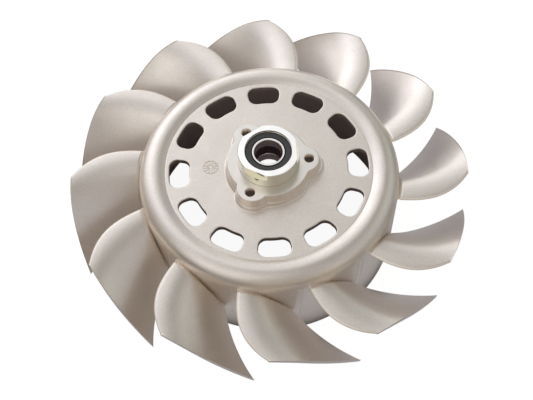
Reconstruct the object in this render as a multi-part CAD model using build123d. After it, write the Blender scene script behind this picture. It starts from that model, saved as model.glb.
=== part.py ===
from build123d import *
import os
from math import acos, cos, degrees, radians, sin, sqrt, tan

# Axial fan impeller, in millimetres and degrees. The fan axis is Z and the front faces +Z.
# The origin is on the axis, in the plane of the drum's rear rim, on which the part stands.

# Drum, rim and web: one thin cast shell
tip_radius = 122.5
drum_radius = 80.0
drum_draft = 0.5
web_height = 64.0
wall = 3.8
rear_edge_thickness = 3.0
rear_edge_round = 0.9
rim_round = 9.7
rim_rise = 1.7
rim_run = 6.8
rim_hollow = 1.0

# Blades, measured at the drum and at the tip
blade_count = 12
blade_depth = 29.2
leading_angle = -46.0
leading_sweep = 4.7
leading_tip_sweep = 8.4
trailing_angle = -23.6
trailing_sweep = 15.6
root_camber = 0.136
tip_camber = 0.074
camber_place = 0.32
root_thickness = 3.6
tip_thickness = 2.4
leading_thickness = 1.8
trailing_thickness = 1.3
blade_root_fillet = 2.5

# Slots through the web
slot_count = 12
slot_rim_gap = 2.55
slot_length = 19.6
slot_width = 12.4
slot_corner = 5.0

# Cast boss with three drilled lugs
boss_radius = 25.1
boss_height = 8.2
boss_ledge_width = 1.8
boss_ledge_height = 2.8
boss_base_fillet = 1.6
lug_count = 3
lug_circle_radius = 24.6
lug_inset = 3.3
lug_radius = 9.5
lug_blend = 2.5
lug_hole_radius = 2.9

# Sealed ball bearings, 17 x 30 x 7 mm
bearing_bore_radius = 8.5
bearing_outer_radius = 15.0
bearing_width = 7.0
bearing_chamfer = 0.3
inner_land_radius = 9.7
inner_shoulder_radius = 10.2
outer_shoulder_radius = 13.3
ball_diameter = 3.969
ball_count = 11
ball_clearance = 0.01
race_conformity = 0.52
seal_outer_radius = 14.1
seal_thickness = 0.8
seal_recess = 0.1
seal_running_gap = 0.06
seal_lip_width = 0.9
seal_lip_thickness = 0.5
cage_wall = 1.5
cage_back_thickness = 0.4
cage_pocket_gap = 0.06
cage_mouth_depth = 1.1

# Steel bearing carrier and what holds the bearings in it
carrier_radius = 18.4
carrier_lip_radius = 14.3
carrier_lip_thickness = 1.5
carrier_flat_distance = 16.7
carrier_flat_height = 4.5
carrier_flat_count = 3
carrier_edge_chamfer = 0.35
carrier_end_wall = 1.7
bearing_face_above_web = 18.1
spacer_length = 7.9
spacer_wall = 1.6
circlip_thickness = 1.2
circlip_width = 2.6
circlip_groove_depth = 0.7
circlip_groove_clearance = 0.1
circlip_gap = 9.0
circlip_ear_radius = 1.9
circlip_ear_hole_radius = 0.75

# Places worked out from the sizes above
crest_height = web_height + rim_rise
parting_height = crest_height - rim_round
crest_radius = drum_radius - rim_round
web_radius = crest_radius - rim_run
slot_circle_radius = web_radius - slot_rim_gap - slot_width / 2
trailing_height = parting_height - blade_depth
boss_top = web_height + boss_height
lug_centre_radius = lug_circle_radius - lug_inset
lug_reach = lug_centre_radius + lug_radius + boss_ledge_width + boss_base_fillet
hub_join_radius = (lug_reach + slot_circle_radius - slot_width / 2) / 2
front_bearing_top = web_height + bearing_face_above_web
front_bearing_middle = front_bearing_top - bearing_width / 2
rear_bearing_top = front_bearing_top - bearing_width - spacer_length
rear_bearing_middle = rear_bearing_top - bearing_width / 2
circlip_top = rear_bearing_top - bearing_width
groove_width = circlip_thickness + circlip_groove_clearance
carrier_bottom = circlip_top - groove_width - carrier_end_wall
carrier_top = front_bearing_top + carrier_lip_thickness
ball_radius = ball_diameter / 2
pitch_radius = (bearing_bore_radius + bearing_outer_radius) / 2
race_radius = race_conformity * ball_diameter
seal_top = bearing_width / 2 - seal_recess
seal_bottom = seal_top - seal_thickness
blade_pitch = 360 / blade_count
blade_middle = (leading_angle + trailing_angle + trailing_sweep) / 2
sector_start = (leading_angle + trailing_angle - blade_pitch) / 2


def polar(radius, angle):
    """A point in the plane, from its radius and its angle in degrees."""
    return radius * cos(radians(angle)), radius * sin(radians(angle))


def ring(outer, inner, bottom, top):
    """A plain tube about the axis."""
    return Pos(0, 0, bottom) * extrude(Circle(outer) - Circle(inner), top - bottom)


def turned(points):
    """A solid turned about the axis from its corners, each a radius and a height."""
    outline = Polyline(*[(radius, 0, height) for radius, height in points], close=True)
    return revolve(make_face(outline), Axis.Z)


def copies(shape, count):
    """Copies of a shape, evenly spaced around the axis."""
    return [Rot(0, 0, step * 360 / count) * shape for step in range(count)]


def shell_profile():
    """The drum, rim and outer web in section: tangent arcs that keep one wall thickness.

    A small hollow arc leaves the web and runs into a long arc up to the crest.
    """
    both = (rim_run * rim_run + rim_rise * rim_rise) / (2 * rim_rise)
    bend = both - rim_hollow
    turn = acos(1 - rim_rise / both)
    drum_turn = radians(90 + drum_draft)
    drum_top = parting_height + rim_round * cos(drum_turn)
    rear_radius = crest_radius + rim_round * sin(drum_turn) - drum_top * tan(radians(drum_draft))
    rear_inner = rear_radius - rear_edge_thickness

    def on_crest(inset, share):
        """A point of the arc beside the crest, or of the same arc on the wall's other side."""
        size = bend - inset
        along = turn * share
        return crest_radius - size * sin(along), 0, crest_height - bend + size * cos(along)

    def on_hollow(inset, share):
        """A point of the hollow arc that runs out into the flat web."""
        size = rim_hollow + inset
        along = turn * share
        return web_radius + size * sin(along), 0, web_height + rim_hollow - size * cos(along)

    def on_round(inset, share):
        """A point of the large outer round, from the crest until it runs with the drum's side."""
        size = rim_round - inset
        along = drum_turn * share
        return crest_radius + size * sin(along), 0, parting_height + size * cos(along)

    rear_outside = (rear_radius, 0, 0)
    rear_inside = (rear_inner, 0, 0)
    join_front = (hub_join_radius, 0, web_height)
    join_rear = (hub_join_radius, 0, web_height - wall)
    outline = [
        Line(rear_outside, on_round(0, 1)),
        ThreePointArc(on_round(0, 1), on_round(0, 0.5), on_round(0, 0)),
        ThreePointArc(on_crest(0, 0), on_crest(0, 0.5), on_crest(0, 1)),
        ThreePointArc(on_hollow(0, 1), on_hollow(0, 0.5), on_hollow(0, 0)),
        Line(on_hollow(0, 0), join_front),
        Line(join_front, join_rear),
        Line(join_rear, on_hollow(wall, 0)),
        ThreePointArc(on_hollow(wall, 0), on_hollow(wall, 0.5), on_hollow(wall, 1)),
        ThreePointArc(on_crest(wall, 1), on_crest(wall, 0.5), on_crest(wall, 0)),
        ThreePointArc(on_round(wall, 0), on_round(wall, 0.5), on_round(wall, 1)),
        Line(on_round(wall, 1), rear_inside),
        Line(rear_inside, rear_outside),
    ]
    return make_face(outline)


def blade_point(span, chord, side):
    """A point of the blade on a cylinder about the axis: its angle and height.

    span is 0 at the drum and 1 at the tip. The chord runs from the leading edge to the
    trailing edge, each in a plane square to the axis. The mean line is two parabolas that
    meet at camber_place, and the thickness is laid off from it, most in mid-chord.
    """
    radius = drum_radius + span * (tip_radius - drum_radius)
    lead = leading_angle + leading_sweep * span + leading_tip_sweep * span ** 3
    trail = trailing_angle + trailing_sweep * span
    chord_run = radians(trail - lead) * radius
    chord_length = sqrt(chord_run ** 2 + blade_depth ** 2)
    camber = root_camber + span * (tip_camber - root_camber)
    if chord < camber_place:
        mean = camber * (2 * camber_place * chord - chord ** 2) / camber_place ** 2
    else:
        rest = 1 - 2 * camber_place + 2 * camber_place * chord - chord ** 2
        mean = camber * rest / (1 - camber_place) ** 2
    middle = root_thickness + span * (tip_thickness - root_thickness)
    edge = leading_thickness + chord * (trailing_thickness - leading_thickness)
    thickness = edge + (middle - edge) * 4 * chord * (1 - chord)
    rise = mean * chord_length + side * thickness / 2
    run = chord * chord_run + rise * blade_depth / chord_length
    drop = chord * blade_depth - rise * chord_run / chord_length
    return lead + degrees(run / radius), parting_height - drop


def blade_plane_point(distance, chord, side):
    """The blade's point in a plane square to the blade's middle direction."""
    span = (distance - drum_radius) / (tip_radius - drum_radius)
    for _ in range(12):
        angle, height = blade_point(span, chord, side)
        radius = distance / cos(radians(angle - blade_middle))
        span = (radius - drum_radius) / (tip_radius - drum_radius)
    return distance, distance * tan(radians(angle - blade_middle)), height


def blade_section(distance):
    """One closed outline of the blade: upper side, trailing end, lower side, round nose."""
    stations = (0.0, 0.05, 0.15, 0.3, 0.5, 0.7, 0.88, 1.0)
    upper = [blade_plane_point(distance, chord, 1) for chord in stations]
    lower = [blade_plane_point(distance, chord, -1) for chord in reversed(stations)]
    nose_ahead = leading_thickness / 2 / (tip_radius - drum_radius)
    nose = blade_plane_point(distance, -nose_ahead, 0)
    return Wire([
        Spline(*upper),
        Line(upper[-1], lower[0]),
        Spline(*lower),
        ThreePointArc(lower[-1], nose, upper[0]),
    ])


def blade():
    """One swept blade, lofted outwards, trimmed at the tip and inside the drum's wall."""
    section_count = 7
    first = (drum_radius - wall) * cos(radians(blade_middle - leading_angle)) - wall
    step = (tip_radius + wall - first) / (section_count - 1)
    sections = [blade_section(first + number * step) for number in range(section_count)]
    loft = Rot(0, 0, blade_middle) * Solid.make_loft(sections)
    bottom = trailing_height - blade_depth
    return loft & ring(tip_radius, drum_radius - wall / 2, bottom, crest_height)


def bladed_sector():
    """The part of the shell that carries one blade, with the fillet around the blade's root."""
    shell = Rot(0, 0, sector_start) * revolve(shell_profile(), Axis.Z, blade_pitch)
    rear_edges = shell.edges().filter_by(GeomType.CIRCLE).group_by(Axis.Z)[0]
    shell = fillet(rear_edges, rear_edge_round)
    one_blade = blade()
    sector = shell + one_blade
    return fillet(new_edges(shell, one_blade, combined=sector), blade_root_fillet)


def is_sector_end(face):
    """True for the two flat faces, through the axis, where a sector meets its neighbours."""
    if face.geom_type != GeomType.PLANE:
        return False
    normal = face.normal_at()
    return abs(normal.Z) < 0.5 and abs(normal.dot(face.center())) < wall / 2


def bladed_shell():
    """The drum, rim, outer web and all blades: one sector's skin, repeated and sewn together."""
    skin = [face for face in bladed_sector().faces() if not is_sector_end(face)]
    all_skin = [copy for face in skin for copy in copies(face, blade_count)]
    return Solid(Shell(all_skin)).clean()


def slot_cutter():
    """One slot: its long sides follow the web's circle, and its corners are round."""
    end_angle = degrees(slot_length / 2 / slot_circle_radius)
    outer = slot_circle_radius + slot_width / 2
    inner = slot_circle_radius - slot_width / 2
    outline = [
        ThreePointArc(polar(outer, -end_angle), (outer, 0), polar(outer, end_angle)),
        Line(polar(outer, end_angle), polar(inner, end_angle)),
        ThreePointArc(polar(inner, end_angle), (inner, 0), polar(inner, -end_angle)),
        Line(polar(inner, -end_angle), polar(outer, -end_angle)),
    ]
    face = make_face(outline)
    face = fillet(face.vertices(), slot_corner)
    return Pos(0, 0, web_height - 2 * wall) * extrude(face, 3 * wall)


def boss_outline(extra):
    """The boss seen from the front: a circle with three round lugs, blended into it."""
    outline = Circle(boss_radius + extra)
    for step in range(lug_count):
        place = polar(lug_centre_radius, step * 360 / lug_count)
        outline += Pos(*place) * Circle(lug_radius + extra)
    return fillet(outline.vertices(), lug_blend)


def hub():
    """The web's middle with the boss in two steps in front, and its flat pad behind."""
    ledge_top = web_height + boss_ledge_height
    lower_step = Pos(0, 0, web_height) * extrude(boss_outline(boss_ledge_width), boss_ledge_height)
    upper_step = Pos(0, 0, ledge_top) * extrude(boss_outline(0), boss_height - boss_ledge_height)
    rear_pad = Pos(0, 0, carrier_bottom) * extrude(boss_outline(0), web_height - carrier_bottom)
    disc = ring(hub_join_radius, carrier_radius, web_height - wall, web_height)
    body = disc + lower_step + upper_step + rear_pad
    web_face = body.faces().filter_by(Axis.Z).filter_by_position(Axis.Z, web_height, web_height)[0]
    return fillet(web_face.inner_wires()[0].edges(), boss_base_fillet)


def impeller_casting():
    """The whole casting: bladed shell, hub, slots, screw holes and bore in one solid."""
    body = bladed_shell() + hub()
    body = body.cut(*copies(slot_cutter(), slot_count))
    depth = boss_top - carrier_bottom
    screw_hole = Pos(lug_circle_radius, 0, carrier_bottom) * extrude(Circle(lug_hole_radius), depth)
    bore = Pos(0, 0, carrier_bottom) * extrude(Circle(carrier_radius), depth)
    return body.cut(bore, *copies(screw_hole, lug_count))


def bearing_carrier():
    """The steel sleeve with a front lip, spanner flats and a groove for the circlip."""
    chamfer_start = carrier_top - carrier_edge_chamfer
    groove_bottom = circlip_top - groove_width
    groove_radius = bearing_outer_radius + circlip_groove_depth
    body = turned([
        (bearing_outer_radius, carrier_bottom),
        (carrier_radius, carrier_bottom),
        (carrier_radius, chamfer_start),
        (carrier_radius - carrier_edge_chamfer, carrier_top),
        (carrier_lip_radius, carrier_top),
        (carrier_lip_radius, front_bearing_top),
        (bearing_outer_radius, front_bearing_top),
        (bearing_outer_radius, circlip_top),
        (groove_radius, circlip_top),
        (groove_radius, groove_bottom),
        (bearing_outer_radius, groove_bottom),
    ])
    between = RegularPolygon(carrier_flat_distance, carrier_flat_count, major_radius=False)
    flats = Circle(2 * carrier_radius) - Rot(0, 0, 180 / carrier_flat_count) * between
    return body - Pos(0, 0, carrier_top - carrier_flat_height) * extrude(flats, carrier_flat_height)


def race_groove(radius):
    """The ring-shaped groove that the balls run in, centred on the bearing's middle."""
    section = Plane.XZ * Pos(radius, 0) * Circle(race_radius)
    return revolve(section, Axis.Z)


def outer_race():
    """The outer ring, with its groove and a seat for each seal."""
    half = bearing_width / 2
    edge = bearing_outer_radius - bearing_chamfer
    body = turned([
        (outer_shoulder_radius, -seal_bottom),
        (seal_outer_radius, -seal_bottom),
        (seal_outer_radius, -half),
        (edge, -half),
        (bearing_outer_radius, bearing_chamfer - half),
        (bearing_outer_radius, half - bearing_chamfer),
        (edge, half),
        (seal_outer_radius, half),
        (seal_outer_radius, seal_bottom),
        (outer_shoulder_radius, seal_bottom),
    ])
    return body - race_groove(pitch_radius + ball_radius + ball_clearance - race_radius)


def inner_race():
    """The inner ring: its bore takes the shaft and its two lands run inside the seals."""
    half = bearing_width / 2
    edge = bearing_bore_radius + bearing_chamfer
    body = turned([
        (edge, -half),
        (inner_land_radius, -half),
        (inner_land_radius, -seal_bottom),
        (inner_shoulder_radius, -seal_bottom),
        (inner_shoulder_radius, seal_bottom),
        (inner_land_radius, seal_bottom),
        (inner_land_radius, half),
        (edge, half),
        (bearing_bore_radius, half - bearing_chamfer),
        (bearing_bore_radius, bearing_chamfer - half),
    ])
    return body - race_groove(pitch_radius - ball_radius - ball_clearance + race_radius)


def balls():
    """The balls of one bearing, as separate solids."""
    ball = Pos(pitch_radius, 0, 0) * Sphere(ball_radius)
    return Compound(children=copies(ball, ball_count))


def cage():
    """The snap cage: a thin ring with an open pocket around each ball."""
    back = ball_radius + cage_pocket_gap + cage_back_thickness
    middle_wall = cage_wall / 2
    body = ring(pitch_radius + middle_wall, pitch_radius - middle_wall, -cage_mouth_depth, back)
    pocket = Pos(pitch_radius, 0, 0) * Sphere(ball_radius + cage_pocket_gap)
    return body.cut(*copies(pocket, ball_count))


def seal():
    """The upper seal: a rubber-covered disc with a thinner lip beside the inner ring."""
    lip_radius = inner_land_radius + seal_running_gap
    lip_bottom = (seal_top + seal_bottom - seal_lip_thickness) / 2
    lip_top = lip_bottom + seal_lip_thickness
    return turned([
        (lip_radius, lip_bottom),
        (lip_radius + seal_lip_width, lip_bottom),
        (lip_radius + seal_lip_width, seal_bottom),
        (seal_outer_radius, seal_bottom),
        (seal_outer_radius, seal_top),
        (lip_radius + seal_lip_width, seal_top),
        (lip_radius + seal_lip_width, lip_top),
        (lip_radius, lip_top),
    ])


def circlip():
    """The spring ring behind the rear bearing, open at a gap between two drilled ears."""
    outer = bearing_outer_radius + circlip_groove_depth
    inner = outer - circlip_width
    ear_angle = degrees((circlip_gap / 2 + circlip_ear_radius) / inner)
    flat = Circle(outer) - Circle(inner)
    gap_reach = 2 * outer
    gap = Polyline((0, 0), polar(gap_reach, -ear_angle), polar(gap_reach, ear_angle), close=True)
    flat -= make_face(gap)
    for side in (-1, 1):
        place = polar(inner, side * ear_angle)
        flat += Pos(*place) * Circle(circlip_ear_radius)
        flat -= Pos(*place) * Circle(circlip_ear_hole_radius)
    flat &= Circle(outer)
    return Pos(0, 0, circlip_top - circlip_thickness) * extrude(flat, circlip_thickness)


def bearing(name, middle):
    """The pieces of one bearing in their place, each with its own name."""
    place = Pos(0, 0, middle)
    return {
        name + "_outer_race": place * outer_race(),
        name + "_inner_race": place * inner_race(),
        name + "_balls": place * balls(),
        name + "_cage": place * cage(),
        name + "_upper_seal": place * seal(),
        name + "_lower_seal": place * mirror(seal(), Plane.XY),
    }


def all_pieces():
    """Every separate piece of the impeller, by name."""
    spacer_bottom = rear_bearing_top
    spacer_top = spacer_bottom + spacer_length
    inner_outside = bearing_bore_radius + spacer_wall
    outer_inside = bearing_outer_radius - spacer_wall
    pieces = {
        "impeller_casting": impeller_casting(),
        "bearing_carrier": bearing_carrier(),
        "inner_spacer": ring(inner_outside, bearing_bore_radius, spacer_bottom, spacer_top),
        "outer_spacer": ring(bearing_outer_radius, outer_inside, spacer_bottom, spacer_top),
        "circlip": circlip(),
    }
    pieces.update(bearing("front", front_bearing_middle))
    pieces.update(bearing("rear", rear_bearing_middle))
    return pieces


os.makedirs("parts", exist_ok=True)
for node, shape in all_pieces().items():
    export_step(shape, "parts/" + node + ".step")
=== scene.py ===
"""An axial fan impeller: a cast aluminium drum with swept blades, a slotted web, a lugged boss,
and a zinc-plated carrier with sealed ball bearings. All lengths are in metres."""

import bpy
import numpy as np
from bpy.props import FloatProperty, FloatVectorProperty, IntProperty, PointerProperty
from mathutils import Euler, Matrix, Vector
from mathutils.geometry import delaunay_2d_cdt


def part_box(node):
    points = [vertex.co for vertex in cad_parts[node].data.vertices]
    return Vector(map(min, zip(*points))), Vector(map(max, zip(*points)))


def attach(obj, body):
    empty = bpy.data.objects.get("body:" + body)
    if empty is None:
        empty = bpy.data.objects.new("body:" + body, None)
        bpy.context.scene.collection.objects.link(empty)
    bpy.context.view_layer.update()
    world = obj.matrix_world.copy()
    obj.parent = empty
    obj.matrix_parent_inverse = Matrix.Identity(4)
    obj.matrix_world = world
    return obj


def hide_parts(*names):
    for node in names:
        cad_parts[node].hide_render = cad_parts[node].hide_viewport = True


bl_info = {
    "name": "Axial fan impeller",
    "version": (1, 0, 0),
    "blender": (4, 5, 0),
    "location": "3D view, sidebar, Fan",
    "description": "Builds a cast axial fan impeller, its bearings and the stage it stands on",
    "category": "Add Mesh",
}

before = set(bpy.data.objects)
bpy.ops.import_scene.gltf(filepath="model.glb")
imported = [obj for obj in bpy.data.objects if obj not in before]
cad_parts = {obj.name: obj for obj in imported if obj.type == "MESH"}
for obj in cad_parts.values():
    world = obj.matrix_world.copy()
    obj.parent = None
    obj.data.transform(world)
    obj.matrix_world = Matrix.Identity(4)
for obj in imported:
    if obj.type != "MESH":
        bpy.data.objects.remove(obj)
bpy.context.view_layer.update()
cad_tip_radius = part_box("impeller_casting")[1].x
cad_boss_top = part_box("impeller_casting")[1].z
cad_carrier_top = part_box("bearing_carrier")[1].z
cad_carrier_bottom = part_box("bearing_carrier")[0].z
MM = 0.001

# Points along each side of a blade's section, around its trailing end and around its nose
SIDE_POINTS, END_POINTS, NOSE_POINTS = 45, 9, 13


def linear(hex_code):
    """The linear red, green, blue and alpha of an sRGB hex colour."""
    srgb = np.array([int(hex_code[place:place + 2], 16) for place in (1, 3, 5)]) / 255
    low = srgb / 12.92
    high = ((srgb + 0.055) / 1.055) ** 2.4
    return (*np.where(srgb <= 0.04045, low, high).tolist(), 1.0)


def length(name, description, default):
    """A length that a user can change."""
    return FloatProperty(name=name, description=description, default=default, min=0.0,
                         precision=5, subtype="DISTANCE", unit="LENGTH")


def angle(name, description, degrees):
    """An angle that a user can change."""
    return FloatProperty(name=name, description=description, default=np.radians(degrees),
                         subtype="ANGLE", unit="ROTATION")


def colour(name, description, hex_code):
    """A colour that a user can change."""
    return FloatVectorProperty(name=name, description=description, default=linear(hex_code),
                               size=4, min=0.0, max=1.0, subtype="COLOR")


class FanDrumSizes(bpy.types.PropertyGroup):
    """Sizes of the drum, its rim and the web."""

    radius: length("Drum radius", "Radius of the drum at the parting plane", 80.0 * MM)
    draft: angle("Draft", "Lean of the drum's side, for drawing it from the mould", 0.5)
    web_height: length("Web height", "Height of the web's front face above the rear rim", 64.0 * MM)
    wall: length("Wall", "Thickness of the rim, the web and the drum", 3.8 * MM)
    rear_edge: length("Rear edge", "Thickness of the drum at its rear rim", 3.0 * MM)
    rear_round: length("Rear round", "Round on the rear rim's two edges", 0.9 * MM)
    rim_round: length("Rim round", "Outer round between the crest and the drum's side", 9.7 * MM)
    rim_rise: length("Rim rise", "How far the crest stands above the web", 1.7 * MM)
    rim_run: length("Rim run", "Distance from the web's edge out to the crest", 6.8 * MM)
    rim_hollow: length("Rim hollow", "Radius of the hollow between the web and the rim", 1.0 * MM)
    edge_groove: length("Edge groove", "Depth of the fine groove at the web's edge", 0.05 * MM)
    parting_ridge: length("Parting ridge", "Height of the mould's parting line", 0.10 * MM)
    columns: IntProperty(name="Columns", description="Faces around the drum", default=480, min=48)


class FanBladeSizes(bpy.types.PropertyGroup):
    """Sizes of the blades."""

    count: IntProperty(name="Blades", description="How many blades", default=12, min=2)
    tip_radius: length("Tip radius", "Radius of the blade tips", cad_tip_radius)
    depth: length("Depth", "Height from the leading edge down to the trailing edge", 29.2 * MM)
    leading: angle("Leading edge", "Angle of the leading edge at the drum", -46.0)
    leading_sweep: angle("Leading sweep", "Even part of the leading edge's sweep", 4.7)
    leading_tip_sweep: angle("Leading tip sweep", "Sweep that grows towards the tip", 8.4)
    trailing: angle("Trailing edge", "Angle of the trailing edge at the drum", -23.6)
    trailing_sweep: angle("Trailing sweep", "Sweep of the trailing edge", 15.6)
    root_camber: FloatProperty(name="Root camber", description="Camber at the drum, of the chord",
                               default=0.136, min=0.0, max=0.4)
    tip_camber: FloatProperty(name="Tip camber", description="Camber at the tip, of the chord",
                              default=0.074, min=0.0, max=0.4)
    camber_place: FloatProperty(name="Camber place", description="Where the camber is largest",
                                default=0.32, min=0.05, max=0.95)
    root_thickness: length("Root thickness", "Greatest thickness at the drum", 3.6 * MM)
    tip_thickness: length("Tip thickness", "Greatest thickness at the tip", 2.4 * MM)
    leading_thickness: length("Leading thickness", "Thickness at the leading edge", 1.8 * MM)
    trailing_thickness: length("Trailing thickness", "Thickness at the trailing edge", 1.3 * MM)
    root_fillet: length("Root fillet", "Fillet between a blade and the drum", 2.5 * MM)
    edge_round: length("Edge round", "Softening of the tip and trailing corners", 0.35 * MM)


class FanHubSizes(bpy.types.PropertyGroup):
    """Sizes of the slots, the boss and the bore."""

    slot_count: IntProperty(name="Slots", description="How many slots", default=12, min=1)
    slot_circle: length("Slot circle", "Radius of the circle through the slots", 54.75 * MM)
    slot_length: length("Slot length", "Length of a slot along that circle", 19.6 * MM)
    slot_width: length("Slot width", "Width of a slot across that circle", 12.4 * MM)
    slot_corner: length("Slot corner", "Corner radius of a slot", 5.0 * MM)
    slot_round: length("Slot round", "Softening of a slot's front edge", 0.6 * MM)
    boss_radius: length("Boss radius", "Radius of the boss between its lugs", 25.1 * MM)
    boss_top: length("Boss top", "Height of the boss's machined face", cad_boss_top)
    ledge_width: length("Ledge width", "How far the lower step stands out", 1.5 * MM)
    boss_lean: length("Boss lean", "How far the boss's wall leans out above the ledge", 0.8 * MM)
    ledge_shift: length("Ledge shift", "Mould shift of the lower step to the front right",
                        0.6 * MM)
    ledge_height: length("Ledge height", "Height of the boss's lower step", 2.8 * MM)
    foot_fillet: length("Foot fillet", "Fillet around the boss's foot", 1.1 * MM)
    lug_count: IntProperty(name="Lugs", description="How many screw lugs", default=3, min=1)
    lug_circle: length("Lug circle", "Radius of the circle through the screw holes", 24.6 * MM)
    lug_centre: length("Lug centre", "Radius of the circle through the lugs' centres", 21.3 * MM)
    lug_radius: length("Lug radius", "Radius of a lug", 9.5 * MM)
    lug_blend: length("Lug blend", "Round between a lug and the boss", 2.5 * MM)
    screw_hole: length("Screw hole", "Radius of a screw hole", 2.9 * MM)
    bore: length("Bore", "Radius of the casting's bore", 18.4 * MM)
    bottom: length("Pad height", "Height of the rear pad's face", cad_carrier_bottom)


class FanFinishes(bpy.types.PropertyGroup):
    """Colours of the finishes."""

    casting: colour("Casting", "Warm grey of the cast aluminium", "#f7eee4")
    casting_shade: colour("Casting shade", "Duller patches of the cast aluminium", "#f1e8dd")
    casting_grain: colour("Casting grain", "Duller grains of the cast aluminium", "#ebe1d5")
    machined: colour("Machined face", "Turned aluminium of the boss's face", "#efe9e0")
    # Painted highlight: the carrier's top end face is painted nearly white where it faces the
    # light.
    zinc_top_highlight: colour("Zinc face", "Plating of the carrier's end face", "#fffdfa")
    zinc: colour("Zinc", "Plating of the carrier's sides", "#f3efe4")
    zinc_tint: colour("Zinc tint", "Green and yellow sheen of the plating", "#e6e0c4")
    steel: colour("Bearing steel", "Ground bearing rings", "#f6f1ec")
    sleeve: colour("Tempered steel", "Brown and purple oxide in the bore", "#8a7078")
    sleeve_shade: colour("Tempered steel, dark", "Darker streaks of the oxide", "#5c4a52")
    # Painted highlight: this bright tone on the top of each blade's nose and on the beads stands
    # for the light along the leading edges.
    edge_highlight_tone: colour("Trimmed edge", "Bright aluminium of the filed leading edges", "#fff5e6")
    ball: colour("Balls", "Polished balls", "#d6d6d8")
    rubber: colour("Seal rubber", "Moulded seal", "#323231")
    rubber_dust: colour("Seal dust", "Dust between the seal's lips", "#525252")
    # Painted shade: the near-black rims of the seal stand for the gap at its inner edge and the
    # shadow of the carrier's lip at its outer edge.
    seal_rim_painted_shade: colour("Seal lips", "The seal's dark lips", "#0c0c0c")
    nylon: colour("Cage nylon", "Moulded cage", "#d8cba8")
    nylon_shade: colour("Cage nylon, dark", "Mottling of the cage", "#c6b68e")
    spring: colour("Spring steel", "Phosphated circlip", "#4a4644")
    spring_shade: colour("Spring steel, dark", "Darker crystals of the phosphate", "#332f2e")


class FanStageSettings(bpy.types.PropertyGroup):
    """The floor and the lights."""

    floor_size: length("Floor", "Side of the floor", 6.0)
    floor_colour: colour("Floor colour", "Plain pale floor", "#7c7c7c")
    floor_glow: FloatProperty(name="Floor glow", description="How far the camera sees it whitened",
                              default=0.93, min=0.0)
    # The five tones below are painted light and painted shade: a glow on the floor that only
    # reflections and bounced light see, in rings around the axis.
    painted_floor_inside: colour("Floor inside", "The floor below the hub in reflections", "#40383a")
    painted_floor_shadow: colour("Floor under", "The floor below the drum's wall in reflections", "#0d0a0a")
    painted_floor_near: colour("Floor near", "The lit floor in reflections, 9 cm from the axis", "#a6a6ab")
    painted_floor_middle: colour("Floor middle", "The same, 16 cm from the axis", "#83838e")
    painted_floor_far: colour("Floor far", "The same, 40 cm from the axis and beyond", "#565250")
    sky: FloatProperty(name="Sky", description="Strength of the light from all around",
                       default=1.0, min=0.0)
    room: colour("Room", "Light of the room at floor level", "#1e1d1c")
    softboxes: FloatProperty(name="Softboxes", description="Strength of the softboxes",
                             default=1.0, min=0.0)


def weld(points, faces):
    """Merge points that share a place on a grid of a tenth of a micrometre, and number the
    faces' corners anew. A face is a row of four indices."""
    grid = 1e-7
    keys = np.round(points / grid).astype(np.int64)
    _, first, place = np.unique(keys, axis=0, return_index=True, return_inverse=True)
    return points[first], place.reshape(-1)[faces]


def fill_mesh(mesh, points, faces, slots):
    """Write points and four-cornered faces into a mesh; a repeated corner makes a triangle."""
    repeated = faces == np.roll(faces, -1, axis=1)
    whole = repeated.sum(axis=1) <= 1
    faces, repeated, slots = faces[whole], repeated[whole], slots[whole]
    corners = faces[~repeated]
    totals = 4 - repeated.sum(axis=1)
    mesh.vertices.add(len(points))
    mesh.vertices.foreach_set("co", points.astype(np.float32).ravel())
    mesh.loops.add(len(corners))
    mesh.loops.foreach_set("vertex_index", corners.astype(np.int32))
    mesh.polygons.add(len(faces))
    starts = np.concatenate(([0], np.cumsum(totals)[:-1]))
    mesh.polygons.foreach_set("loop_start", starts.astype(np.int32))
    mesh.polygons.foreach_set("material_index", slots.astype(np.int32))
    mesh.update(calc_edges=True)
    mesh.validate()


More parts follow.
